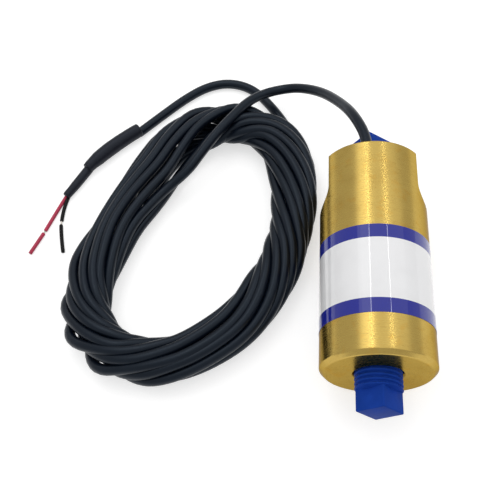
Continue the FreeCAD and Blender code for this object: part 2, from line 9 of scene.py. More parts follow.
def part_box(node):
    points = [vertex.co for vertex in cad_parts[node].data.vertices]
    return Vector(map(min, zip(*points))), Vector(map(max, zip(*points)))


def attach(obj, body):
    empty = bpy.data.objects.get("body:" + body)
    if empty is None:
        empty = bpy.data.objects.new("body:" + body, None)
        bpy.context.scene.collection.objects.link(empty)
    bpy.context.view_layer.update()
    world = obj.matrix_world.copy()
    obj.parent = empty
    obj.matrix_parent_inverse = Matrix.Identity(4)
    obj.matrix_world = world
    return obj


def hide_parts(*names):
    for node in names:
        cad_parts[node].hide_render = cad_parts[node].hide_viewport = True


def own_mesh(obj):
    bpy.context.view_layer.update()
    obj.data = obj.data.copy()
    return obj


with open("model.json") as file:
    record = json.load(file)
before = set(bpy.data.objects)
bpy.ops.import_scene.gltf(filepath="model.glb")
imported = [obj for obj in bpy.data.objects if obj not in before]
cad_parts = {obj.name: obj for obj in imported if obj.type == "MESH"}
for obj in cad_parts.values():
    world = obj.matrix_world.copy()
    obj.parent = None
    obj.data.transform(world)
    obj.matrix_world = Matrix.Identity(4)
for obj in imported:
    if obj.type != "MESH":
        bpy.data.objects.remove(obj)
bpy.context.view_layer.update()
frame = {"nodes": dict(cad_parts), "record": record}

bl_info = {
    "name": "In-line flow switch",
    "version": (1, 0, 0),
    "blender": (4, 5, 0),
    "location": "3D View > Sidebar > Flow Switch",
    "description": "Dresses the packed model of a brass in-line flow switch with a coiled cable",
    "category": "Object",
}

# Metres, in the model's own frame: the bore runs along Y, the inlet faces -Y and the switch rests on Z = 0.
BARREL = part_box("housing")
AXIS_Z = (BARREL[0].z + BARREL[1].z) / 2
BARREL_RADIUS = (BARREL[1].x - BARREL[0].x) / 2
INLET_FACE, CABLE_FACE = BARREL[0].y, BARREL[1].y
SPRING_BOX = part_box("return_spring")
LABEL_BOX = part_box("name_label")
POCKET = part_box("potting")
POCKET_X = (POCKET[0].x + POCKET[1].x) / 2
POCKET_Z = (POCKET[0].z + POCKET[1].z) / 2


def mm(*values):
    """Millimetres as metres: one number, or a point."""
    return values[0] / 1000 if len(values) == 1 else Vector(values) / 1000


# ---------------------------------------------------------------- shader maths
class Signal:
    """A socket that carries a value or a colour. Arithmetic on it adds Math nodes to its material."""

    def __init__(self, finish, socket):
        self.finish = finish
        self.socket = socket

    def maths(self, operation, *values, **settings):
        settings = dict(operation=operation, **settings)
        return self.finish.node("ShaderNodeMath", settings, dict(enumerate(values)))

    def __add__(self, other):
        return self.maths("ADD", self, other)

    def __sub__(self, other):
        return self.maths("SUBTRACT", self, other)

    def __rsub__(self, other):
        return self.maths("SUBTRACT", other, self)

    def __mul__(self, other):
        return self.maths("MULTIPLY", self, other)

    __radd__ = __add__

    def below(self, other):
        return self.maths("LESS_THAN", self, other)

    def above(self, other):
        return self.maths("GREATER_THAN", self, other)

    def root(self):
        return self.maths("SQRT", self)

    def fade(self, start, end):
        """Climbs smoothly from 0 at start to 1 at end, or falls where end is the lower one."""
        share = self.maths("DIVIDE", self - start, end - start, use_clamp=True)
        return share * share * (3 - share * 2)


class Finish:
    """A material in the making. Its nodes end in one Principled shader."""

    def __init__(self, name):
        self.material = bpy.data.materials.new(name)
        self.material.use_nodes = True
        self.nodes = self.material.node_tree.nodes
        self.links = self.material.node_tree.links
        self.nodes.clear()

    def fill(self, socket, value):
        if isinstance(value, Signal):
            self.links.new(value.socket, socket)
        elif hasattr(value, "__len__") and len(value) == 3 and len(socket.default_value) == 4:
            socket.default_value = (*value, 1.0)
        else:
            socket.default_value = value

    def node(self, kind, settings=None, inputs=None, output=0):
        """Adds a node: its settings first, then its sockets' values or links. Gives one of its outputs."""
        node = self.nodes.new(kind)
        for key, value in (settings or {}).items():
            setattr(node, key, value)
        for key, value in (inputs or {}).items():
            self.fill(node.inputs[key], value)
        return Signal(self, node.outputs[output])

    def position(self):
        return self.node("ShaderNodeTexCoord", output="Object")

    def parts(self, vector):
        first = self.node("ShaderNodeSeparateXYZ", inputs={0: vector})
        return [Signal(self, socket) for socket in first.socket.node.outputs]

    def vector(self, x, y, z):
        return self.node("ShaderNodeCombineXYZ", inputs={0: x, 1: y, 2: z})

    def noise(self, at, scale, detail=2.0, roughness=0.5):
        sizes = {"Vector": at, "Scale": scale, "Detail": detail, "Roughness": roughness}
        return self.node("ShaderNodeTexNoise", inputs=sizes)

    def mix(self, first, second, share):
        """One colour into another. The node's sockets 6 and 7 and its output 2 are the ones for colours."""
        return self.node("ShaderNodeMix", {"data_type": "RGBA"}, {0: share, 6: first, 7: second}, output=2)

    def bump(self, height, depth, strength):
        return self.node("ShaderNodeBump", None, {"Height": height, "Distance": depth, "Strength": strength})

    def principled(self, **sockets):
        named = {key.replace("_", " "): value for key, value in sockets.items()}
        shader = self.node("ShaderNodeBsdfPrincipled", None, named)
        output = self.nodes.new("ShaderNodeOutputMaterial")
        self.links.new(shader.socket, output.inputs[0])
        return self.material


def shaded(colour, *shares):
    """A colour with its channels multiplied, by one share for all of them or by one each."""
    shares = shares * 3 if len(shares) == 1 else shares
    return [channel * share for channel, share in zip(colour, shares)]


def brass_finish(name, colour, roughness):
    """Turned brass: broken lathe lines round the barrel and in rings on its ends, pits and slight tarnish."""
    finish = Finish(name)
    at = finish.position()
    x, y, z = finish.parts(at)
    up = z - AXIS_Z
    feed = y + (x * x + up * up).root()
    lines = finish.noise(finish.vector(x * 160, feed * 4200, up * 160), 1.0, 3.0, 0.65)
    tears = finish.noise(finish.vector(x * 420, feed * 1500, up * 420), 1.0, 4.0, 0.7)
    cloud = finish.noise(at, 75.0, 4.0, 0.6)
    pit = finish.noise(at, 1500.0, 2.0, 0.5)
    stain = finish.noise(at, 260.0, 3.0, 0.6)
    worn = cloud.fade(0.45, 0.7) * 0.3 + tears.fade(0.5, 0.72) * 0.3 + pit.fade(0.68, 0.76) * 0.5
    stained = finish.mix(colour, shaded(colour, 1.02, 0.86, 0.62), stain.fade(0.52, 0.72) * 0.5)
    tone = finish.mix(stained, shaded(colour, 0.70, 0.62, 0.52), worn)
    rough = roughness + (lines - 0.5) * 0.2 + (tears - 0.5) * 0.1
    normal = finish.bump(lines * 1.1 + tears * 0.1, 0.00002, 0.45)
    return finish.principled(
        Base_Color=tone, Metallic=1.0, Roughness=rough, Normal=normal, Specular_Tint=(0.50, 0.44, 0.38)
    )


def film_finish(name, white, blue, band):
    """Printed film: white between two blue bands, under a clear laminate."""
    finish = Finish(name)
    at = finish.position()
    along = finish.parts(at)[1]
    low, high = LABEL_BOX[0].y, LABEL_BOX[1].y
    printed = along.above(high - band) + along.below(low + band)
    fleck = finish.noise(at, 2500.0, 3.0, 0.6)
    wash = finish.noise(at, 120.0, 2.0, 0.5)
    paper = finish.mix(white, shaded(white, 0.95), wash.fade(0.4, 0.8))
    ink = finish.mix(blue, shaded(blue, 0.75), fleck)
    tone = finish.mix(paper, ink, printed)
    normal = finish.bump(fleck * 0.6 + wash * 8.0, 0.000006, 0.4)
    return finish.principled(
        Base_Color=tone,
        Roughness=0.34 + fleck * 0.1,
        Specular_IOR_Level=0.1,
        Normal=normal,
        Coat_Weight=1.0,
        Coat_Roughness=0.03,
    )


def moulded_finish(name, colour, roughness, grain=1400.0, depth=0.000015, gloss=0.3, tint=(1, 1, 1)):
    """Moulded or extruded plastic: even colour with faint flow, a soft skin and small dents."""
    finish = Finish(name)
    at = finish.position()
    skin = finish.noise(at, grain, 3.0, 0.6)
    flow = finish.noise(at, 160.0, 3.0, 0.6)
    light = [min(1.0, channel * 1.25 + 0.001) for channel in colour]
    tone = finish.mix(colour, light, flow.fade(0.35, 0.8))
    rough = roughness + (flow - 0.5) * 0.16 + (skin - 0.5) * 0.08
    normal = finish.bump(skin * 0.4 + flow * 1.2, depth, 0.7)
    return finish.principled(
        Base_Color=tone, Roughness=rough, Normal=normal, Specular_IOR_Level=gloss, Specular_Tint=tint
    )


def steel_finish(name, colour, roughness):
    """Drawn or ground steel with short scratches along the bore."""
    finish = Finish(name)
    at = finish.position()
    x, y, z = finish.parts(at)
    grain = finish.noise(finish.vector(x * 4000, y * 700, z * 4000), 1.0, 3.0, 0.6)
    tone = finish.mix(colour, shaded(colour, 0.75), grain)
    normal = finish.bump(grain, 0.000006, 0.6)
    return finish.principled(Base_Color=tone, Metallic=1.0, Roughness=roughness + grain * 0.15, Normal=normal)


def glass_finish(name, colour):
    """Thin drawn glass, tinted faintly green."""
    finish = Finish(name)
    wave = finish.noise(finish.position(), 500.0, 2.0, 0.5)
    tone = finish.mix(colour, shaded(colour, 0.9), wave)
    normal = finish.bump(wave, 0.00001, 0.5)
    return finish.principled(
        Base_Color=tone, Roughness=0.04 + wave * 0.04, Normal=normal, Transmission_Weight=0.9, IOR=1.5
    )


MATERIALS = {}


def material(slot):
    """The finish of a material slot of the record, made once."""
    look = bpy.context.scene.flow_switch_finishes
    makers = {
        "brass": lambda name: brass_finish(name, look.brass[:], look.brass_roughness),
        "label": lambda name: film_finish(name, look.label_white[:], look.label_blue[:], look.label_band),
        "plug": lambda name: moulded_finish(name, look.plug_blue[:], 0.45, depth=0.00002, gloss=0.03),
        "steel": lambda name: steel_finish(name, (0.56, 0.56, 0.55), 0.28),
        "magnet": lambda name: steel_finish(name, (0.12, 0.12, 0.13), 0.45),
        "piston": lambda name: moulded_finish(name, (0.03, 0.03, 0.032), 0.4),
        "glass": lambda name: glass_finish(name, (0.85, 0.95, 0.9)),
        "epoxy": lambda name: moulded_finish(name, (0.012, 0.012, 0.013), 0.18, grain=600.0, depth=0.00003),
        "jacket": lambda name: moulded_finish(
            name, look.jacket[:], 0.33, grain=1800.0, depth=0.00001, gloss=0.3, tint=(0.7, 0.84, 1.0)
        ),
        "sleeve": lambda name: moulded_finish(
            name, look.sleeve[:], 0.46, grain=1200.0, depth=0.00002, tint=(0.75, 0.85, 1.0)
        ),
        "red_pvc": lambda name: moulded_finish(name, look.red_lead[:], 0.35),
        "black_pvc": lambda name: moulded_finish(name, (0.004, 0.004, 0.0045), 0.4, gloss=0.15),
        "copper": lambda name: steel_finish(name, (0.78, 0.74, 0.68), 0.3),
    }
    if slot not in MATERIALS:
        MATERIALS[slot] = makers[slot](slot)
    return MATERIALS[slot]


# ---------------------------------------------------------------- meshes
def piece(name, mesh, slot, body="switch", smooth=True):
    """A named object with its finish, riding on a body of the model."""
    if smooth:
        mesh.shade_smooth()
    made = bpy.data.objects.new(name, mesh)
    bpy.context.scene.collection.objects.link(made)
    mesh.materials.append(material(slot))
    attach(made, body)
    return made


def mesh_of(name, shape):
    mesh = bpy.data.meshes.new(name)
    shape.normal_update()
    shape.to_mesh(mesh)
    shape.free()
    return mesh


def sharpen(mesh, degrees):
    """Smooth shading that stops at edges sharper than an angle."""
    mesh.shade_smooth()
    mesh.set_sharp_from_angle(angle=math.radians(degrees))


def skin(shape, rings):
    """Faces between closed rings of vertices with the same count."""
    for first, second in zip(rings, rings[1:]):
        count = len(first)
        for k in range(count):
            following = (k + 1) % count
            shape.faces.new((first[k], first[following], second[following], second[k]))


def cable_curve(name, points, radius=0.0):
    """A smooth open curve with the points as its control points."""
    curve = bpy.data.curves.new(name, "CURVE")
    curve.dimensions = "3D"
    line = curve.splines.new("NURBS")
    line.points.add(len(points) - 1)
    for control, point in zip(line.points, points):
        control.co = (*point, 1.0)
    line.order_u = 3
    line.use_endpoint_u = True
    line.resolution_u = STEPS_PER_POINT
    curve.bevel_depth = radius
    curve.bevel_resolution = 5
    curve.use_fill_caps = True
    return bpy.data.objects.new(name, curve)


def line_through(points):
    """The smooth line that a curve with these control points follows."""
    guide = cable_curve("guide", points)
    bpy.context.scene.collection.objects.link(guide)
    traced = bpy.data.meshes.new_from_object(guide)
    line = [vertex.co.copy() for vertex in traced.vertices]
    bpy.data.meshes.remove(traced)
    bpy.data.objects.remove(guide)
    return line


def frames_along(line):
    """For each point of a line: how far along it is, the point, and two directions across the line."""
    ahead = (line[1] - line[0]).normalized()
    side = ahead.orthogonal().normalized()
    gone = 0.0
    frames = []
    for k, point in enumerate(line):
        before, after = line[max(k - 1, 0)], line[min(k + 1, len(line) - 1)]
        ahead = (after - before).normalized()
        side = (side - ahead * side.dot(ahead)).normalized()
        gone += (point - line[k - 1]).length if k else 0.0
        frames.append((gone, point, side, ahead.cross(side)))
    return frames


def resampled(line, count):
    """The same line at even steps."""
    frames = frames_along(line)
    total = frames[-1][0]
    points = []
    k = 0
    for step in range(count):
        target = total * step / (count - 1)
        while k < len(frames) - 2 and frames[k + 1][0] < target:
            k += 1
        span = frames[k + 1][0] - frames[k][0]
        points.append(frames[k][1].lerp(frames[k + 1][1], (target - frames[k][0]) / span))
    return points


def between(stops, place):
    """The value at a place of a list of (place, value) stops, with smooth steps between them."""
    for (start, first), (end, second) in zip(stops, stops[1:]):
        if place <= end:
            share = max(0.0, (place - start) / (end - start))
            return first + (second - first) * share * share * (3 - 2 * share)
    return stops[-1][1]


def sleeve_mesh(name, line, stops, sides=32, steps=80, wrinkle=0.0):
    """A tube along a line. Its radius goes through stops given as (share of the length, radius).

    A wrinkle is how far the skin strays from round, in five folds that twist along the tube."""
    shape = bmesh.new()
    frames = frames_along(resampled(line, steps))
    total = frames[-1][0]
    rings = []
    for gone, point, side, other in frames:
        radius = between(stops, gone / total)
        ring = []
        for k in range(sides):
            turn = 2 * math.pi * k / sides
            ripple = wrinkle * math.sin(5 * turn + 400 * gone) * math.sin(900 * gone + 2 * turn)
            across = side * math.cos(turn) + other * math.sin(turn)
            ring.append(shape.verts.new(point + across * (radius + ripple)))
        rings.append(ring)
    skin(shape, rings)
    shape.faces.new(reversed(rings[0]))
    shape.faces.new(rings[-1])
    return mesh_of(name, shape)


def broken_corners(profile, sizes):
    """A profile with its inner corners rounded off. A point beside each rounding keeps the flats flat."""
    beside = 1.25
    points = [Vector(profile[0])]
    for before, corner, after, size in zip(profile, profile[1:], profile[2:], sizes):
        corner = Vector(corner)
        back, ahead = (Vector(before) - corner).normalized(), (Vector(after) - corner).normalized()
        points.append(corner + back * size * beside)
        for share in (0.0, 0.33, 0.67, 1.0):
            points.append(corner + back * size * (1 - share) ** 2 + ahead * size * share**2)
        points.append(corner + ahead * size * beside)
    points.append(Vector(profile[-1]))
    return points


# ---------------------------------------------------------------- the cable's route
STEPS_PER_POINT = 6
# Across, along and height in millimetres. The lead runs from the pocket's mouth over to the coil.
LEAD = [
    (-1.475, 35.5125, 29.47),
    (-1.475, 41.5125, 29.47),
    (-5.6, 53.0, 27.8),
    (-10.2, 63.9, 22.0),
    (-17.3, 75.3, 15.6),
    (-26.0, 82.1, 11.0),
    (-33.1, 83.7, 8.8),
    (-40.3, 81.5, 9.2),
    (-46.3, 76.1, 10.9),
    (-51.3, 67.8, 12.5),
    (-56.3, 60.2, 13.0),
    (-62.2, 51.1, 12.0),
    (-66.6, 44.5, 10.4),
]
TAIL = [
    (-21.0, 46.5, 3.2),
    (-24.0, 57.0, 2.2),
    (-30.2, 68.0, 1.85),
    (-37.0, 79.7, 1.85),
    (-45.6, 90.7, 1.85),
    (-55.7, 95.0, 1.85),
    (-65.2, 93.3, 1.85),
    (-73.6, 87.5, 1.85),
    (-82.5, 79.0, 1.85),
    (-91.4, 70.1, 1.85),
]
# Middle of the coil's ring, anticlockwise from its top left, with its reach to the outside and the inside.
RING = [
    (-72.0, 63.5, 9.3, 9.8),
    (-80.5, 48.5, 8.0, 10.0),
    (-86.0, 37.5, 7.5, 9.6),
    (-91.0, 24.5, 6.5, 7.2),
    (-94.0, 11.5, 7.2, 6.0),
    (-97.0, -2.5, 7.0, 6.0),
    (-95.0, -16.5, 5.8, 6.5),
    (-84.0, -28.5, 3.5, 8.0),
    (-72.0, -30.5, 4.2, 7.8),
    (-60.0, -28.5, 4.5, 7.5),
    (-44.0, -17.5, 5.5, 8.0),
    (-36.0, -4.5, 6.3, 7.0),
    (-30.0, 8.5, 6.0, 7.0),
    (-27.5, 21.5, 6.0, 7.0),
    (-27.0, 36.5, 7.0, 7.5),
    (-31.0, 52.5, 8.4, 6.6),
    (-40.0, 65.5, 8.2, 7.0),
    (-56.5, 70.5, 10.4, 9.8),
]
# Shrunk sleeves: their routes, and their radii as (share of the length, millimetres).
OUTER_SLEEVE = [(-90.8, 71.2, 2.93), (-103.7, 61.5, 2.93), (-109.6, 52.5, 2.93)]
OUTER_RADII = [(0, 2.2), (0.015, 2.7), (0.1, 2.8), (0.55, 2.9), (0.75, 2.8), (0.93, 2.35), (1, 2.1)]
INNER_SLEEVE = [(-108.9, 54.0, 1.95), (-112.5, 47.0, 1.85), (-116.4, 40.3, 1.8)]
INNER_RADII = [(0, 1.7), (0.1, 1.85), (0.6, 1.8), (0.85, 1.65), (0.97, 1.6), (1, 1.45)]
# Leads: three points of the insulation and three of the slug left on the end, across and along.
LEADS = {
    "red": [(-116.2, 42.6), (-118.6, 36.3), (-122.3, 25.2), (-122.7, 24.2), (-124.4, 20.0), (-126.3, 15.4)],
    "black": [(-115.6, 41.6), (-117.1, 36.6), (-116.6, 29.5), (-116.5, 27.7), (-115.3, 21.8), (-113.4, 15.8)],
}
LEAD_RADIUS, LEAD_TIP, LEAD_ROOT = 0.72, 0.66, 0.6
# Where the lead joins the ring, in stations, and where on the bundle it lies there, from its outer edge up.
JOINED_AT = 1.5
JOINED_SIDE = math.radians(172)
# The turns wind faster where they cross: (gain in turns, crossings in a round, place of one in degrees).
CROSSINGS = [(0.036, 3, 4), (0.014, 2, 110), (0.03, 1, 118)]
# At the upper left the fast place is moved back along the ring: its gain, and the new and old places.
UPPER_LEFT = 1.1, math.radians(-24), math.radians(16)
# Loops that stand out at the lower left, in millimetres, and where.
LOOPS = 5.8, math.radians(112)
COIL_RISE = 4.7


def ring_at(place):
    """A smooth closed line through the ring's stations: its point, outward direction and two reaches."""

    def station(value):
        k, share = int(value // 1), value % 1
        a, b, c, d = (RING[(k + step) % len(RING)] for step in (-1, 0, 1, 2))
        return [
            0.5
            * (
                2 * q
                + (r - p) * share
                + (2 * p - 5 * q + 4 * r - s) * share**2
                + (3 * q - p - 3 * r + s) * share**3
            )
            for p, q, r, s in zip(a, b, c, d)
        ]

    here, beyond = station(place), station(place + 0.02)
    ahead = Vector((beyond[0] - here[0], beyond[1] - here[1])).normalized()
    return Vector(here[:2]), Vector((ahead.y, -ahead.x)), here[2], here[3]


def hurry(apart):
    """Turns gained by winding faster near one place of the ring and slower elsewhere."""
    return math.atan2(0.6 * math.sin(apart), 1 - 0.6 * math.cos(apart)) / math.tau


def lean(angle):
    """Turns by which the winding is ahead at an angle round the ring."""
    gain, new, old = UPPER_LEFT
    ahead = sum(most * math.sin(count * (angle - math.radians(place))) for most, count, place in CROSSINGS)
    return ahead + gain * (hurry(angle - new) - hurry(angle - old))


def coil_points(look):
    """The turns lie on a flattened tube round the ring and wind round it as a strand of a rope does."""
    points = []
    count = round(look.turns * look.points_per_turn)
    start = JOINED_AT / len(RING) * math.tau
    for k in range(count + 1):
        turns = k / count * look.turns
        angle = start + turns * math.tau
        middle, outward, outside, inside = ring_at(angle / math.tau * len(RING))
        width = (outside + inside) / 2
        phase = JOINED_SIDE + look.twist * (turns + lean(angle) - lean(start))
        # strands lie closer on the top than at the edges, the more so where the bundle is wide
        phase += 0.04 * (width - 5.0) * math.sin(2 * phase) + 0.1 * math.cos(phase)
        across, up = math.cos(phase), math.sin(phase)
        bulge = LOOPS[0] * max(0.0, math.cos(angle - LOOPS[1])) ** 3 * max(across, 0.0) ** 12
        sway = 0.3 * math.sin(0.618 * math.tau * turns + 1.3 * math.sin(angle))
        place = middle + outward * ((outside if across > 0 else inside) * across + bulge + sway)
        # the bundle is flatter where it is wide
        rise = COIL_RISE - 0.3 * (width - 7.0)
        points.append((place.x, place.y, 1.9 + rise * (1 + up)))
    return points


# ---------------------------------------------------------------- sizes and colours
class FlowSwitchFinishes(bpy.types.PropertyGroup):
    brass: bpy.props.FloatVectorProperty(
        name="Brass",
        description="Colour of the brass",
        subtype="COLOR",
        default=(0.525, 0.37, 0.10),
        min=0,
        max=1,
    )
    brass_roughness: bpy.props.FloatProperty(
        name="Brass roughness", description="Roughness of the turned brass", default=0.25, min=0, max=1
    )
    label_white: bpy.props.FloatVectorProperty(
        name="Label white",
        description="Colour of the bare film",
        subtype="COLOR",
        default=(0.84, 0.84, 0.85),
    )
    label_blue: bpy.props.FloatVectorProperty(
        name="Label blue",
        description="Colour of the two bands",
        subtype="COLOR",
        default=(0.003, 0.010, 0.30),
    )
    label_band: bpy.props.FloatProperty(
        name="Band width",
        description="Width of each blue band",
        default=0.00455,
        unit="LENGTH",
        precision=5,
    )
    plug_blue: bpy.props.FloatVectorProperty(
        name="Plug blue",
        description="Colour of the shipping plugs",
        subtype="COLOR",
        default=(0.009, 0.046, 0.31),
    )
    jacket: bpy.props.FloatVectorProperty(
        name="Jacket",
        description="Colour of the cable's jacket",
        subtype="COLOR",
        default=(0.0012, 0.0030, 0.0075),
    )
    sleeve: bpy.props.FloatVectorProperty(
        name="Sleeve",
        description="Colour of the shrunk sleeves",
        subtype="COLOR",
        default=(0.0065, 0.0070, 0.0115),
    )
    red_lead: bpy.props.FloatVectorProperty(
        name="Red lead",
        description="Colour of the red lead",
        subtype="COLOR",
        default=(0.43, 0.03, 0.075),
    )


class FlowSwitchCable(bpy.types.PropertyGroup):
    diameter: bpy.props.FloatProperty(
        name="Diameter", description="Diameter of the cable", default=0.0037, unit="LENGTH", precision=5
    )
    turns: bpy.props.FloatProperty(name="Turns", description="Turns in the coil", default=9.68)
    points_per_turn: bpy.props.IntProperty(
        name="Points per turn", description="Control points in each turn", default=24, min=12
    )
    twist: bpy.props.FloatProperty(
        name="Twist",
        description="How far a strand winds round the coil's ring in one turn",
        subtype="ANGLE",
        default=math.radians(756.0),
    )


class FlowSwitchPlug(bpy.types.PropertyGroup):
    pitch: bpy.props.FloatProperty(
        name="Thread pitch",
        description="Distance between two crests",
        default=0.001411,
        unit="LENGTH",
        precision=6,
    )
    depth: bpy.props.FloatProperty(
        name="Thread depth", description="Height of the thread", default=0.0008, unit="LENGTH", precision=6
    )
    sides: bpy.props.IntProperty(name="Sides", description="Faces round each plug", default=96, min=24)


class FlowSwitchHousing(bpy.types.PropertyGroup):
    edge: bpy.props.FloatProperty(
        name="Broken edge",
        description="Size of the rounding on the edges",
        default=0.0003,
        unit="LENGTH",
        precision=5,
    )
    flats: bpy.props.FloatProperty(
        name="Across flats",
        description="Width across the wrench flats",
        default=0.028575,
        unit="LENGTH",
        precision=5,
    )
    flat_length: bpy.props.FloatProperty(
        name="Flat length", description="Length of the flats", default=0.012, unit="LENGTH", precision=4
    )
    cutter: bpy.props.FloatProperty(
        name="Cutter radius", description="Radius of the run-outs", default=0.008, unit="LENGTH", precision=4
    )
    port_depth: bpy.props.FloatProperty(
        name="Port depth", description="Depth of each port", default=0.0155, unit="LENGTH", precision=4
    )
    port_pitch: bpy.props.FloatProperty(
        name="Port pitch",
        description="Pitch of the pipe thread",
        default=0.001411,
        unit="LENGTH",
        precision=6,
    )
    port_crest: bpy.props.FloatProperty(
        name="Port crest",
        description="How far the crests stand out",
        default=0.00013,
        unit="LENGTH",
        precision=5,
    )


class FlowSwitchStudio(bpy.types.PropertyGroup):
    lens: bpy.props.FloatProperty(name="Lens", description="Focal length in millimetres", default=51.25)
    distance: bpy.props.FloatProperty(
        name="Camera height", description="Height of the camera", default=0.219566, unit="LENGTH", precision=4
    )
    sky: bpy.props.FloatProperty(name="Sky", description="Strength of the even light", default=0.68)
    floor: bpy.props.FloatVectorProperty(
        name="Floor", description="Colour of the floor", subtype="COLOR", default=(0.6, 0.6, 0.6)
    )


# ---------------------------------------------------------------- operators
# The camera's place across and along, and its azimuth, elevation and roll in degrees.
CAMERA_AT = (-0.007843, -0.110556)
CAMERA_TURNS = (15.644, 59.110, -14.377)
# Lamps that face down: name, middle, width and length in metres, power in watts, turn in degrees.
LAMPS = [
    ("overhead", (0.45, 0.35, 0.75), (1.7, 1.2), 2.75, 0.0),
    ("left_box", (-0.26, 0.33, 0.62), (0.32, 0.6), 0.5, 0.0),
    ("left_tube", (-0.114, 0.31, 0.60), (0.013, 0.5), 0.17, -4.0),
    ("right_tube", (0.285, 0.33, 0.60), (0.010, 0.5), 0.2, 5.0),
]


class FLOWSWITCH_OT_studio(bpy.types.Operator):
    """Make the camera, the floor, the sky and the lamps"""

    bl_idname = "flow_switch.studio"
    bl_label = "Studio"

    def execute(self, context):
        look = context.scene.flow_switch_studio
        self.camera(context, look)
        self.floor(context, look)
        self.sky(context, look)
        for lamp in LAMPS:
            self.lamp(*lamp)
        context.scene.view_settings.view_transform = "Standard"
        return {"FINISHED"}

    def camera(self, context, look):
        data = bpy.data.cameras.new("camera")
        data.lens = look.lens
        data.sensor_width = 36.0
        data.clip_start, data.clip_end = 0.01, 20.0
        camera = bpy.data.objects.new("camera", data)
        context.scene.collection.objects.link(camera)
        azimuth, elevation, roll = (math.radians(angle) for angle in CAMERA_TURNS)
        flat = math.cos(elevation)
        back = Vector((math.sin(azimuth) * flat, -math.cos(azimuth) * flat, math.sin(elevation)))
        level = Vector((0, 0, 1)).cross(back).normalized()
        upright = back.cross(level)
        right = level * math.cos(roll) + upright * math.sin(roll)
        above = upright * math.cos(roll) - level * math.sin(roll)
        turn = Matrix((right, above, back)).transposed().to_4x4()
        camera.matrix_world = Matrix.Translation((*CAMERA_AT, look.distance)) @ turn
        context.scene.camera = camera

    def floor(self, context, look):
        """A pale matt floor. It glows only to the camera and in mirrors, so its glow lights nothing."""
        shape = bmesh.new()
        bmesh.ops.create_grid(shape, x_segments=8, y_segments=8, size=12.0)
        floor = bpy.data.objects.new("floor", mesh_of("floor", shape))
        floor.location = (0, 0, -mm(0.05))
        context.scene.collection.objects.link(floor)
        finish = Finish("pale_floor")
        rays = ("Is Camera Ray", "Is Glossy Ray", "Is Transmission Ray")
        straight, mirrored, through = (finish.node("ShaderNodeLightPath", output=ray) for ray in rays)
        seen = straight.maths("ADD", straight + mirrored, through, use_clamp=True)
        glow = finish.mix((0, 0, 0), (0.6, 0.6, 0.6), seen)
        grain = finish.noise(finish.position(), 60.0, 2.0)
        tone = finish.mix(look.floor[:], shaded(look.floor, 0.99), grain)
        finish.principled(Base_Color=tone, Roughness=0.7, Emission_Color=glow, Emission_Strength=1.0)
        floor.data.materials.append(finish.material)

    def sky(self, context, look):
        world = bpy.data.worlds.new("even_light")
        world.use_nodes = True
        background = world.node_tree.nodes["Background"]
        background.inputs["Color"].default_value = (1.0, 1.0, 1.0, 1.0)
        background.inputs["Strength"].default_value = look.sky
        context.scene.world = world

    def lamp(self, name, place, sizes, power, turn):
        data = bpy.data.lights.new(name, "AREA")
        data.shape = "RECTANGLE"
        data.size, data.size_y = sizes
        data.energy = power
        lamp = bpy.data.objects.new(name, data)
        bpy.context.scene.collection.objects.link(lamp)
        lamp.location = place
        lamp.rotation_euler = (0, 0, math.radians(turn))


# The bore between the ports in millimetres: distance from the inlet face and radius. It has the seat for the
# spring's far end, the piston's bore, the seat ring's bore and the retaining ring's groove.
BORE = [
    (47.6, 2.9),
    (47.6, 5.56),
    (21.5, 5.56),
    (21.5, 6.35),
    (18.5, 6.35),
    (18.5, 6.95),
    (17.5, 6.95),
    (17.5, 6.35),
    (15.5, 6.35),
]
PORT_MOUTH, PORT_SINK = 7.25, 0.5
# Pipe threads taper by 1 in 16, so the radius changes by 1 in 32.
PIPE_TAPER = 0.03125
POCKET_RADIUS, POCKET_DEPTH = 3.2, 52.0
INLET_CHAMFER, CABLE_CHAMFER = 1.3, 0.3


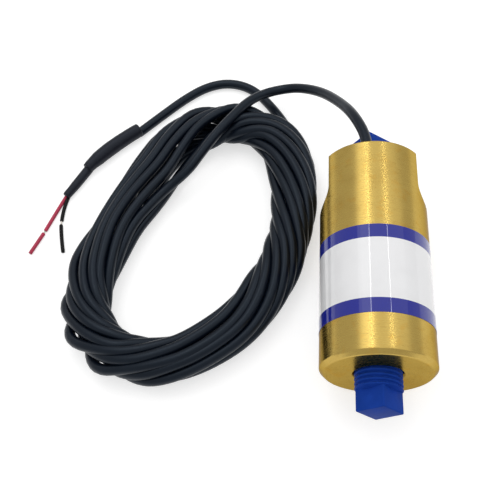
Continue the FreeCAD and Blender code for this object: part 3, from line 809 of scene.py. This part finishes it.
class FLOWSWITCH_OT_housing(bpy.types.Operator):
    """Make the turned housing with its broken edges, ports, bores, wrench flats and reed pocket"""

    bl_idname = "flow_switch.housing"
    bl_label = "Housing"

    def execute(self, context):
        look = context.scene.flow_switch_housing
        length = CABLE_FACE - INLET_FACE
        shape = bmesh.new()
        outside = self.outside(shape, look, length)
        inside = self.inside(shape, look, length)
        pocket = self.pocket(shape)
        self.end_face(shape, outside[0], inside[-1])
        self.end_face(shape, outside[-1], inside[0], pocket)
        bmesh.ops.recalc_face_normals(shape, faces=shape.faces)
        mesh = mesh_of("turned_housing", shape)
        sharpen(mesh, 28)
        housing = piece("turned_housing", mesh, "brass", smooth=False)
        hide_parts("housing")
        return {"FINISHED"}

    def outside(self, shape, look, length):
        """Rings from the inlet face to the cable face, cut off at the wrench flats."""
        chamfer, far_chamfer = mm(INLET_CHAMFER), mm(CABLE_CHAMFER)
        corners = [
            (0.0, BARREL_RADIUS - chamfer - mm(1.0)),
            (0.0, BARREL_RADIUS - chamfer),
            (chamfer, BARREL_RADIUS),
            (length - far_chamfer, BARREL_RADIUS),
            (length, BARREL_RADIUS - far_chamfer),
            (length, BARREL_RADIUS - far_chamfer - mm(0.5)),
        ]
        edges = (look.edge, look.edge, look.edge * 0.5, look.edge * 0.5)
        start, *middle, end = broken_corners(corners, edges)
        flat_start = length - look.flat_length
        run_out = [flat_start - look.cutter * share for share in (0.0, *(k / 20 for k in range(1, 17)))]
        places = (*run_out, mm(20.0), mm(40.0), length - mm(5.0))
        middle += [Vector((place, BARREL_RADIUS)) for place in places]
        middle.sort(key=lambda point: (round(point.x, 7), point.y if point.x < mm(5.0) else -point.y))
        rings = []
        for place, radius in (start, *middle, end):
            short = flat_start - place
            half = look.flats / 2
            if short > 0:
                half += look.cutter - math.sqrt(max(0.0, look.cutter**2 - short**2))
            if place > length - mm(0.001):
                half -= BARREL_RADIUS - far_chamfer - radius
            rings.append(self.flatted_ring(shape, place, radius, half))
        skin(shape, rings)
        return rings

    def flatted_ring(self, shape, place, radius, half):
        """A ring whose left and right are cut off, with vertices kept for the corners of the flats."""
        on_flat, on_round = 8, 72
        corner = math.acos(min(1.0, half / radius))
        kept = max(corner, math.radians(8.0))
        ring = []
        for middle in (0.0, math.pi):
            facing = math.cos(middle)
            for step in range(-on_flat, on_flat):
                turn = kept * step / on_flat
                x, z = min(radius * math.cos(turn), half), radius * math.sin(turn)
                if corner >= kept:
                    x, z = half, radius * math.sin(corner) * step / on_flat
                ring.append((facing * x, facing * z))
            for step in range(on_round):
                turn = middle + kept + (math.pi - 2 * kept) * step / on_round
                ring.append((radius * math.cos(turn), radius * math.sin(turn)))
        return [shape.verts.new((x, INLET_FACE + place, AXIS_Z + z)) for x, z in ring]

    def round_ring(self, shape, place, radius_at, sides=96, x=0.0, z=0.0):
        """A ring about the bore's line, or beside it. Its radius may change with the share of a turn."""
        ring = []
        for k in range(sides):
            turn = math.tau * k / sides
            radius = radius_at(k / sides)
            spot = (x + radius * math.cos(turn), INLET_FACE + place, AXIS_Z + z + radius * math.sin(turn))
            ring.append(shape.verts.new(spot))
        return ring

    def inside(self, shape, look, length):
        """Rings from the cable face through the far port, the stepped bore and the near port."""
        outlet = BORE[0][1]
        rings = self.port(shape, look, length, -1)
        rings.append(self.round_ring(shape, length - look.port_depth, lambda around: mm(outlet)))
        for place, radius in BORE:
            rings.append(self.round_ring(shape, mm(place), lambda around: mm(radius)))
        rings += reversed(self.port(shape, look, 0.0, 1))
        skin(shape, rings)
        return rings

    def port(self, shape, look, face, inwards):
        """A tapered port from its countersunk mouth inwards, with its thread's crests out of its wall."""
        mouth, sink = mm(PORT_MOUTH), mm(PORT_SINK)
        rings = [self.round_ring(shape, face, lambda around: mouth + sink)]
        rows = 90
        for row in range(rows + 1):
            depth = sink + (look.port_depth - sink) * row / rows
            # the thread fades in over six rows at the mouth and out over twelve at the bottom
            start = min(1.0, row / 6, (rows - row) / 12)

            def wall(around):
                wave = abs(2 * ((depth / look.port_pitch + inwards * around) % 1.0) - 1.0)
                return mouth - depth * PIPE_TAPER - look.port_crest * start * max(0.0, wave * 1.4 - 0.4)

            rings.append(self.round_ring(shape, face + inwards * depth, wall))
        return rings

    def pocket(self, shape):
        """The blind hole beside the bore. Gives the ring at its mouth."""
        height = POCKET_Z - AXIS_Z
        length = CABLE_FACE - INLET_FACE
        rings = []
        for depth in (0.0, POCKET_DEPTH):
            place = length - mm(depth)
            ring = self.round_ring(
                shape, place, lambda around: mm(POCKET_RADIUS), sides=48, x=POCKET_X, z=height
            )
            rings.append(ring)
        skin(shape, rings)
        shape.faces.new(rings[-1])
        return rings[0]

    def end_face(self, shape, *loops):
        """A flat face between its outline and the mouths in it."""
        edges = []
        for loop in loops:
            for first, second in zip(loop, loop[1:] + loop[:1]):
                edges.append(shape.edges.get((first, second)) or shape.edges.new((first, second)))
        made = bmesh.ops.triangle_fill(shape, edges=edges, use_beauty=True, use_dissolve=False)["geom"]
        if not any(isinstance(item, bmesh.types.BMFace) for item in made):
            raise RuntimeError("an end face of the housing was not filled")


class FLOWSWITCH_OT_cable(bpy.types.Operator):
    """Make the cable with its coil, and the sleeves and leads at its end"""

    bl_idname = "flow_switch.cable"
    bl_label = "Cable"

    def execute(self, context):
        look = context.scene.flow_switch_cable
        route = [mm(*point) for point in (*LEAD, *coil_points(look), *TAIL)]
        cable = cable_curve("cable", route, look.diameter / 2)
        context.scene.collection.objects.link(cable)
        cable.data.materials.append(material("jacket"))
        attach(cable, "switch")
        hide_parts("cable_lead", "cable_coil", "cable_tail")
        ends = [*self.sleeves(), *self.lead("red"), *self.lead("black")]
        line = frames_along(line_through(route))
        return {"FINISHED"}

    def sleeves(self):
        """The sleeve on the cable's end, and the smaller one on the two leads."""
        first = self.sleeve("cable_sleeve", OUTER_SLEEVE, OUTER_RADII, 0.015)
        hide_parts("outer_sleeve")
        second = self.sleeve("lead_sleeve", INNER_SLEEVE, INNER_RADII, 0.02)
        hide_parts("inner_sleeve")
        return [first, second]

    def sleeve(self, name, route, radii, wrinkle):
        """One shrunk sleeve. Its route, radii and wrinkle are in millimetres."""
        line = line_through([mm(*point) for point in route])
        stops = [(share, mm(radius)) for share, radius in radii]
        return piece(name, sleeve_mesh(name, line, stops, wrinkle=mm(wrinkle)), "sleeve")

    def lead(self, colour):
        """One lead with its bare conductor and the slug of insulation left on the end."""
        points = [mm(x, y, LEAD_RADIUS) for x, y in LEADS[colour]]
        full, tip, root = mm(LEAD_RADIUS), mm(LEAD_TIP), mm(LEAD_ROOT)
        slot = f"{colour}_pvc"
        stops = [(0, root), (0.03, full), (0.98, full), (1, tip)]
        mesh = sleeve_mesh("lead", line_through(points[:3]), stops, sides=24, steps=40)
        lead = piece(f"{colour}_insulation", mesh, slot)
        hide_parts(f"{colour}_lead")
        stops = [(0, tip), (0.03, full), (0.97, full), (1, tip)]
        mesh = sleeve_mesh("slug", line_through(points[3:]), stops, sides=24, steps=30)
        slug = piece(f"{colour}_end_slug", mesh, slot)
        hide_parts(f"{colour}_slug")
        bare = self.strands(f"{colour}_strands", points[2], points[3])
        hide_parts(f"{colour}_conductor")
        return [lead, slug, bare]

    def strands(self, name, start, end):
        """Seven tinned strands, six of them wound round the middle one. They reach into the insulation."""
        radius, pitch, hidden = mm(0.112), mm(6.0), mm(0.6)
        steps, sides = 24, 8
        shape = bmesh.new()
        ahead = (end - start).normalized()
        start, end = start - ahead * hidden, end + ahead * hidden
        side = ahead.orthogonal().normalized()
        other = ahead.cross(side)
        length = (end - start).length
        for strand in range(7):
            rings = []
            for step in range(steps + 1):
                share = step / steps
                turn = strand * math.tau / 6 + share * length / pitch * math.tau
                offset = (side * math.cos(turn) + other * math.sin(turn)) * (mm(0.225) if strand else 0.0)
                middle = start.lerp(end, share) + offset
                ring = []
                for k in range(sides):
                    around = k * math.tau / sides
                    across = (side * math.cos(around) + other * math.sin(around)) * radius
                    ring.append(shape.verts.new(middle + across))
                rings.append(ring)
            skin(shape, rings)
            shape.faces.new(reversed(rings[0]))
            shape.faces.new(rings[-1])
        return piece(name, mesh_of(name, shape), "copper")


# How far each shank stands out, in millimetres, and how far each head is turned, in degrees.
PLUGS = {"near": (5.0, -8.4), "far": (6.0, 5.0)}
PLUG_CREST, PLUG_INSIDE, PLUG_SQUARE = 7.10, 7.0, 9.93
# The hollow from its bottom to the shank's inner end, as (distance from that end, radius) in millimetres, and
# the cone between the shoulder and the head, as (distance past the shoulder, radius).
PLUG_HOLLOW = [(9.0, 4.4), (8.7, 4.6), (0.2, 4.6), (0.0, 4.8), (0.0, 5.8)]
PLUG_CONE = [(0.2, 6.1), (0.6, 4.7)]


class FLOWSWITCH_OT_plugs(bpy.types.Operator):
    """Make the two shipping plugs with their threads and square heads"""

    bl_idname = "flow_switch.plugs"
    bl_label = "Shipping plugs"

    def execute(self, context):
        look = context.scene.flow_switch_plug
        self.plug(look, "near", -1, INLET_FACE, *PLUGS["near"])
        self.plug(look, "far", 1, CABLE_FACE, *PLUGS["far"])
        return {"FINISHED"}

    def plug(self, look, name, side, face, shank_out, turn):
        """Outwards from the port: a hollow threaded shank, and a square head on its shoulder."""
        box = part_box(f"{name}_plug")
        head_end = box[1].y if side > 0 else box[0].y
        crest = mm(PLUG_CREST)
        inner_end, shoulder = -mm(PLUG_INSIDE), mm(shank_out)
        shape = bmesh.new()
        rows = round((shoulder - inner_end) / look.pitch * 12)
        rings = []

        def ring(out, radius_at):
            made = []
            for k in range(look.sides):
                around = math.tau * k / look.sides
                radius = radius_at(k / look.sides)
                spot = (radius * math.cos(around), face + side * out, AXIS_Z + radius * math.sin(around))
                made.append(shape.verts.new(spot))
            rings.append(made)

        for beyond, radius in PLUG_HOLLOW:
            ring(inner_end + mm(beyond), lambda around: mm(radius))
        for row in range(rows + 1):
            out = inner_end + (shoulder - inner_end) * row / rows
            taper = crest + min(0.0, out) * PIPE_TAPER
            fade = min(1.0, (out - inner_end) / look.pitch)

            def thread(around):
                wave = ((out - shoulder) / look.pitch - side * around + 0.42) % 1.0
                rise = min(1.0, max(0.0, (1.0 - abs(2 * wave - 1.0)) * 1.5 - 0.2))
                flank = 1 - rise * rise * (3 - 2 * rise)
                return taper - look.depth * flank * fade - (1 - fade) * look.depth * 0.9

            ring(out, thread)
        for beyond, radius in PLUG_CONE:
            ring(shoulder + mm(beyond), lambda around: mm(radius))
        skin(shape, rings)
        shape.faces.new(rings[0])
        shape.faces.new(rings[-1])
        bmesh.ops.recalc_face_normals(shape, faces=shape.faces)
        self.head(shape, face + side * shoulder, head_end, side, turn)
        mesh = mesh_of(f"{name}_shipping_plug", shape)
        sharpen(mesh, 42)
        plug = piece(f"{name}_shipping_plug", mesh, "plug", f"{name}_plug_body", smooth=False)
        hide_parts(f"{name}_plug")

    def head(self, shape, start, end, side, turn):
        """The square head, with rounded edges. It starts inside the cone at the shank's end."""
        start -= side * mm(0.2)
        made = bmesh.ops.create_cube(shape, size=1.0)["verts"]
        half = mm(PLUG_SQUARE) / 2
        spin = Matrix.Rotation(-math.radians(turn) + math.pi / 4, 3, "Y")
        for vertex in made:
            outer = (vertex.co.y > 0) == (side > 0)
            flat = Vector((vertex.co.x * 2 * half, 0, vertex.co.z * 2 * half))
            placed = spin @ flat
            vertex.co = (placed.x, end if outer else start, AXIS_Z + placed.z)
        edges = {edge for vertex in made for edge in vertex.link_edges}
        faces = {face for vertex in made for face in vertex.link_faces}
        bmesh.ops.recalc_face_normals(shape, faces=list(faces))
        bmesh.ops.bevel(shape, geom=list(edges), offset=mm(0.4), segments=4, profile=0.5, affect="EDGES")


SPRING_WIRE_RADIUS, SPRING_TURNS, PISTON_TRAVEL = 0.25, 6.0, 8.0
# Section of the potting's edge in millimetres: radius round the cable, and height above the cable face.
POTTING_EDGE = [
    (3.16, -0.6),
    (3.16, -0.02),
    (2.9, -0.25),
    (2.5, -0.3),
    (2.15, 0.05),
    (1.95, 0.5),
    (1.84, 0.9),
    (1.84, -0.6),
]


class FLOWSWITCH_OT_workings(bpy.types.Operator):
    """Make the return spring and the potting's edge, and finish the parts of the model that stay"""

    bl_idname = "flow_switch.workings"
    bl_label = "Workings"

    def execute(self, context):
        self.spring()
        self.meniscus()
        slots = {part["node"]: part["material_slot"] for part in frame["record"]["subparts"]}
        for name, node in frame["nodes"].items():
            node.data.materials.clear()
            node.data.materials.append(material(slots[name]))
            if not node.hide_render:
                sharpen(node.data, 30)
        return {"FINISHED"}

    def spring(self):
        """The return spring."""
        wire = mm(SPRING_WIRE_RADIUS)
        start, end = SPRING_BOX[0].y + wire, SPRING_BOX[1].y - wire
        radius = (SPRING_BOX[1].x - SPRING_BOX[0].x) / 2 - wire
        steps = int(SPRING_TURNS * 36)
        line = []
        for step in range(steps + 1):
            share = step / steps
            turn = share * SPRING_TURNS * math.tau
            # the turns lie closer towards both ends
            flat = share - 0.055 * math.sin(share * math.tau)
            along = start + (end - start) * flat
            line.append(Vector((radius * math.sin(turn), along, AXIS_Z + radius * math.cos(turn))))
        mesh = sleeve_mesh("spring", line, [(0, wire), (1, wire)], sides=12, steps=420)
        spring = piece("piston_spring", mesh, "steel")
        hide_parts("return_spring")
        keep = 1 - mm(PISTON_TRAVEL) / (SPRING_BOX[1].y - SPRING_BOX[0].y)
        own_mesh(spring)

    def meniscus(self):
        """Potting that has crept up the cable and sunk between it and the pocket's wall."""
        shape = bmesh.new()
        rings = []
        sides = 64
        for radius, rise in POTTING_EDGE:
            ring = []
            for k in range(sides):
                turn = math.tau * k / sides
                x, z = POCKET_X + mm(radius) * math.cos(turn), POCKET_Z + mm(radius) * math.sin(turn)
                ring.append(shape.verts.new((x, CABLE_FACE + mm(rise + 0.06 * math.sin(3 * turn)), z)))
            rings.append(ring)
        skin(shape, [*rings, rings[0]])
        bmesh.ops.recalc_face_normals(shape, faces=shape.faces)
        piece("potting_edge", mesh_of("potting_edge", shape), "epoxy")


class FLOWSWITCH_PT_parts(bpy.types.Panel):
    """Lists the pieces and their sizes and colours"""

    bl_idname = "FLOWSWITCH_PT_parts"
    bl_label = "Flow Switch"
    bl_space_type = "VIEW_3D"
    bl_region_type = "UI"
    bl_category = "Flow Switch"

    def draw(self, context):
        for group, operator in GROUPS:
            settings = getattr(context.scene, group)
            box = self.layout.box()
            for key in settings.__annotations__:
                box.prop(settings, key)
            box.operator(operator)


GROUPS = [
    ("flow_switch_studio", "flow_switch.studio"),
    ("flow_switch_housing", "flow_switch.housing"),
    ("flow_switch_cable", "flow_switch.cable"),
    ("flow_switch_plug", "flow_switch.plugs"),
    ("flow_switch_finishes", "flow_switch.workings"),
]
SETTINGS = {
    "flow_switch_studio": FlowSwitchStudio,
    "flow_switch_housing": FlowSwitchHousing,
    "flow_switch_cable": FlowSwitchCable,
    "flow_switch_plug": FlowSwitchPlug,
    "flow_switch_finishes": FlowSwitchFinishes,
}
CLASSES = [
    *SETTINGS.values(),
    FLOWSWITCH_OT_studio,
    FLOWSWITCH_OT_housing,
    FLOWSWITCH_OT_cable,
    FLOWSWITCH_OT_plugs,
    FLOWSWITCH_OT_workings,
    FLOWSWITCH_PT_parts,
]


def register():
    for each in CLASSES:
        bpy.utils.register_class(each)
    for name, settings in SETTINGS.items():
        setattr(bpy.types.Scene, name, bpy.props.PointerProperty(type=settings))


def unregister():
    for name in SETTINGS:
        delattr(bpy.types.Scene, name)
    for each in reversed(CLASSES):
        bpy.utils.unregister_class(each)


def main():
    register()
    bpy.ops.flow_switch.studio()
    bpy.ops.flow_switch.housing()
    bpy.ops.flow_switch.cable()
    bpy.ops.flow_switch.plugs()
    bpy.ops.flow_switch.workings()
    bpy.context.view_layer.update()


if __name__ == "__main__":
    main()
